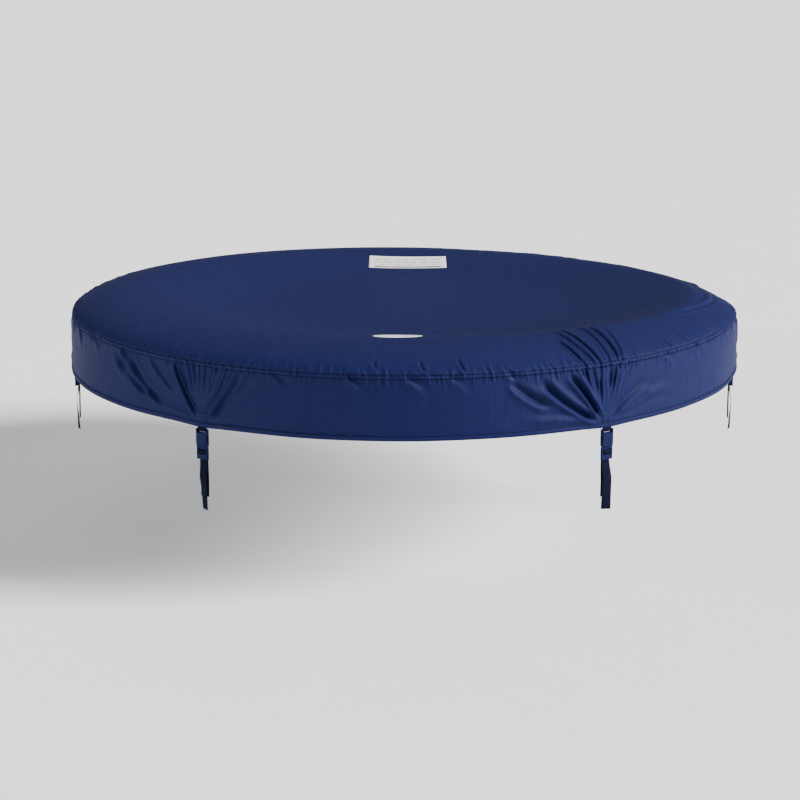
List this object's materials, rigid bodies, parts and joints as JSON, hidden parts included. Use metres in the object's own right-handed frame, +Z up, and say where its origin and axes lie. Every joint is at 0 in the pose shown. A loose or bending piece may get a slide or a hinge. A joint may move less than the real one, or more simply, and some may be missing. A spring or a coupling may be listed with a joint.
{
  "type": "spa cover",
  "caption": "Round fitted cover for an inflatable spa: sunken padded top, sewn skirt and hem, hanging side-release buckle straps, zipped pocket with an air bladder beneath.",
  "frame": {"origin": "centre of the circle where the lining rests on the tub's rim, held there by the mount tub_rim_seat", "axes": "+Z up, the shortest extent; the front, with the oval badge, faces -Y"},
  "size_m": [1.826, 1.8166, 0.4069],
  "materials": {
    "shell_cloth": "satin",
    "label": "satin",
    "foam": "matte",
    "lining": "satin",
    "bladder_skin": "satin",
    "valve_plastic": "satin",
    "zip_tape": "matte",
    "zip_metal": "satin",
    "webbing": "matte",
    "buckle_plastic": "satin"
  },
  "bodies": {
    "cover": {"top_panel": "shell_cloth", "skirt_front": "shell_cloth", "skirt_rear_right": "shell_cloth", "skirt_rear_left": "shell_cloth", "seam_band": "shell_cloth", "hem_band": "shell_cloth", "strap_patches": "shell_cloth", "rear_label": "label", "front_badge": "label", "foam_layer": "foam", "ring_lining": "lining", "pocket_wall": "lining", "pocket_base_front": "lining", "pocket_base_rear": "lining", "bladder": "bladder_skin", "zip_tape_front": "zip_tape", "zip_tape_rear": "zip_tape", "zip_coil_front": "buckle_plastic", "zip_coil_rear": "buckle_plastic", "zip_stops": "buckle_plastic", "valve_base": "valve_plastic"},
    "zip_slider": {"zip_slider": "zip_metal"},
    "zip_pull": {"zip_pull": "zip_metal"},
    "valve_cap": {"valve_cap": "valve_plastic"},
    "front_left_strap": {"front_left_loop": "webbing", "front_left_socket": "buckle_plastic"},
    "front_left_buckle_plug": {"front_left_plug": "buckle_plastic", "front_left_webbing": "webbing"},
    "front_left_prong_l": {"front_left_left_prong": "buckle_plastic"},
    "front_left_prong_r": {"front_left_right_prong": "buckle_plastic"},
    "front_right_strap": {"front_right_loop": "webbing", "front_right_socket": "buckle_plastic"},
    "front_right_buckle_plug": {"front_right_plug": "buckle_plastic", "front_right_webbing": "webbing"},
    "front_right_prong_l": {"front_right_left_prong": "buckle_plastic"},
    "front_right_prong_r": {"front_right_right_prong": "buckle_plastic"},
    "right_strap": {"right_loop": "webbing", "right_socket": "buckle_plastic"},
    "right_buckle_plug": {"right_plug": "buckle_plastic", "right_webbing": "webbing"},
    "right_prong_l": {"right_left_prong": "buckle_plastic"},
    "right_prong_r": {"right_right_prong": "buckle_plastic"},
    "rear_right_strap": {"rear_right_loop": "webbing", "rear_right_socket": "buckle_plastic"},
    "rear_right_buckle_plug": {"rear_right_plug": "buckle_plastic", "rear_right_webbing": "webbing"},
    "rear_right_prong_l": {"rear_right_left_prong": "buckle_plastic"},
    "rear_right_prong_r": {"rear_right_right_prong": "buckle_plastic"},
    "rear_left_strap": {"rear_left_loop": "webbing", "rear_left_socket": "buckle_plastic"},
    "rear_left_buckle_plug": {"rear_left_plug": "buckle_plastic", "rear_left_webbing": "webbing"},
    "rear_left_prong_l": {"rear_left_left_prong": "buckle_plastic"},
    "rear_left_prong_r": {"rear_left_right_prong": "buckle_plastic"},
    "left_strap": {"left_loop": "webbing", "left_socket": "buckle_plastic"},
    "left_buckle_plug": {"left_plug": "buckle_plastic", "left_webbing": "webbing"},
    "left_prong_l": {"left_left_prong": "buckle_plastic"},
    "left_prong_r": {"left_right_prong": "buckle_plastic"}
  },
  "joints": [
    {"name": "zip_slide", "type": "slide", "parent": "cover", "child": "zip_slider", "axis": [-1, 0, 0], "range_m": [0, 0.976]},
    {"name": "zip_pull_swing", "type": "hinge", "parent": "zip_slider", "child": "zip_pull", "pos_m": [0.488, 0.42, -0.1222], "axis": [0, 1, 0], "range_deg": [-75, 75]},
    {"name": "valve_cap_hinge", "type": "hinge", "parent": "cover", "child": "valve_cap", "pos_m": [-0.233, -0.15, -0.1254], "axis": [0, -1, 0], "range_deg": [0, 150]},
    {"name": "front_left_strap_swing", "type": "hinge", "parent": "cover", "child": "front_left_strap", "pos_m": [-0.48466, -0.76665, -0.182], "axis": [-0.8453, 0.5344, 0], "range_deg": [-12, 110]},
    {"name": "front_left_buckle_release", "type": "slide", "parent": "front_left_strap", "child": "front_left_buckle_plug", "axis": [0, 0, -1], "range_m": [0, 0.034]},
    {"name": "front_left_prong_press", "type": "hinge", "parent": "front_left_buckle_plug", "child": "front_left_prong_l", "pos_m": [-0.49332, -0.76118, -0.22895], "axis": [-0.5344, -0.8453, 0], "range_deg": [-7, 0], "stiffness_Nm_per_rad": 0.02},
    {"name": "front_left_prong_follow", "type": "hinge", "parent": "front_left_buckle_plug", "child": "front_left_prong_r", "pos_m": [-0.47599, -0.77213, -0.22895], "axis": [-0.5344, -0.8453, 0], "range_deg": [0, 7], "stiffness_Nm_per_rad": 0.02},
    {"name": "front_right_strap_swing", "type": "hinge", "parent": "cover", "child": "front_right_strap", "pos_m": [0.48466, -0.76665, -0.182], "axis": [-0.8453, -0.5344, 0], "range_deg": [-12, 110]},
    {"name": "front_right_buckle_release", "type": "slide", "parent": "front_right_strap", "child": "front_right_buckle_plug", "axis": [0, 0, -1], "range_m": [0, 0.034]},
    {"name": "front_right_prong_press", "type": "hinge", "parent": "front_right_buckle_plug", "child": "front_right_prong_l", "pos_m": [0.47599, -0.77213, -0.22895], "axis": [0.5344, -0.8453, 0], "range_deg": [-7, 0], "stiffness_Nm_per_rad": 0.02},
    {"name": "front_right_prong_follow", "type": "hinge", "parent": "front_right_buckle_plug", "child": "front_right_prong_r", "pos_m": [0.49332, -0.76118, -0.22895], "axis": [0.5344, -0.8453, 0], "range_deg": [0, 7], "stiffness_Nm_per_rad": 0.02},
    {"name": "right_strap_swing", "type": "hinge", "parent": "cover", "child": "right_strap", "pos_m": [0.907, 0, -0.182], "axis": [0, -1, 0], "range_deg": [-12, 110]},
    {"name": "right_buckle_release", "type": "slide", "parent": "right_strap", "child": "right_buckle_plug", "axis": [0, 0, -1], "range_m": [0, 0.034]},
    {"name": "right_prong_press", "type": "hinge", "parent": "right_buckle_plug", "child": "right_prong_l", "pos_m": [0.907, -0.01025, -0.22895], "axis": [1, 0, 0], "range_deg": [-7, 0], "stiffness_Nm_per_rad": 0.02},
    {"name": "right_prong_follow", "type": "hinge", "parent": "right_buckle_plug", "child": "right_prong_r", "pos_m": [0.907, 0.01025, -0.22895], "axis": [1, 0, 0], "range_deg": [0, 7], "stiffness_Nm_per_rad": 0.02},
    {"name": "rear_right_strap_swing", "type": "hinge", "parent": "cover", "child": "rear_right_strap", "pos_m": [0.48466, 0.76665, -0.182], "axis": [0.8453, -0.5344, 0], "range_deg": [-12, 110]},
    {"name": "rear_right_buckle_release", "type": "slide", "parent": "rear_right_strap", "child": "rear_right_buckle_plug", "axis": [0, 0, -1], "range_m": [0, 0.034]},
    {"name": "rear_right_prong_press", "type": "hinge", "parent": "rear_right_buckle_plug", "child": "rear_right_prong_l", "pos_m": [0.49332, 0.76118, -0.22895], "axis": [0.5344, 0.8453, 0], "range_deg": [-7, 0], "stiffness_Nm_per_rad": 0.02},
    {"name": "rear_right_prong_follow", "type": "hinge", "parent": "rear_right_buckle_plug", "child": "rear_right_prong_r", "pos_m": [0.47599, 0.77213, -0.22895], "axis": [0.5344, 0.8453, 0], "range_deg": [0, 7], "stiffness_Nm_per_rad": 0.02},
    {"name": "rear_left_strap_swing", "type": "hinge", "parent": "cover", "child": "rear_left_strap", "pos_m": [-0.48466, 0.76665, -0.182], "axis": [0.8453, 0.5344, 0], "range_deg": [-12, 110]},
    {"name": "rear_left_buckle_release", "type": "slide", "parent": "rear_left_strap", "child": "rear_left_buckle_plug", "axis": [0, 0, -1], "range_m": [0, 0.034]},
    {"name": "rear_left_prong_press", "type": "hinge", "parent": "rear_left_buckle_plug", "child": "rear_left_prong_l", "pos_m": [-0.47599, 0.77213, -0.22895], "axis": [-0.5344, 0.8453, 0], "range_deg": [-7, 0], "stiffness_Nm_per_rad": 0.02},
    {"name": "rear_left_prong_follow", "type": "hinge", "parent": "rear_left_buckle_plug", "child": "rear_left_prong_r", "pos_m": [-0.49332, 0.76118, -0.22895], "axis": [-0.5344, 0.8453, 0], "range_deg": [0, 7], "stiffness_Nm_per_rad": 0.02},
    {"name": "left_strap_swing", "type": "hinge", "parent": "cover", "child": "left_strap", "pos_m": [-0.907, 0, -0.182], "axis": [0, 1, 0], "range_deg": [-12, 110]},
    {"name": "left_buckle_release", "type": "slide", "parent": "left_strap", "child": "left_buckle_plug", "axis": [0, 0, -1], "range_m": [0, 0.034]},
    {"name": "left_prong_press", "type": "hinge", "parent": "left_buckle_plug", "child": "left_prong_l", "pos_m": [-0.907, 0.01025, -0.22895], "axis": [-1, 0, 0], "range_deg": [-7, 0], "stiffness_Nm_per_rad": 0.02},
    {"name": "left_prong_follow", "type": "hinge", "parent": "left_buckle_plug", "child": "left_prong_r", "pos_m": [-0.907, -0.01025, -0.22895], "axis": [-1, 0, 0], "range_deg": [0, 7], "stiffness_Nm_per_rad": 0.02}
  ],
  "couplings": [
    {"joint": "front_left_prong_follow", "follows": "front_left_prong_press", "ratio": -1},
    {"joint": "front_right_prong_follow", "follows": "front_right_prong_press", "ratio": -1},
    {"joint": "right_prong_follow", "follows": "right_prong_press", "ratio": -1},
    {"joint": "rear_right_prong_follow", "follows": "rear_right_prong_press", "ratio": -1},
    {"joint": "rear_left_prong_follow", "follows": "rear_left_prong_press", "ratio": -1},
    {"joint": "left_prong_follow", "follows": "left_prong_press", "ratio": -1}
  ]
}
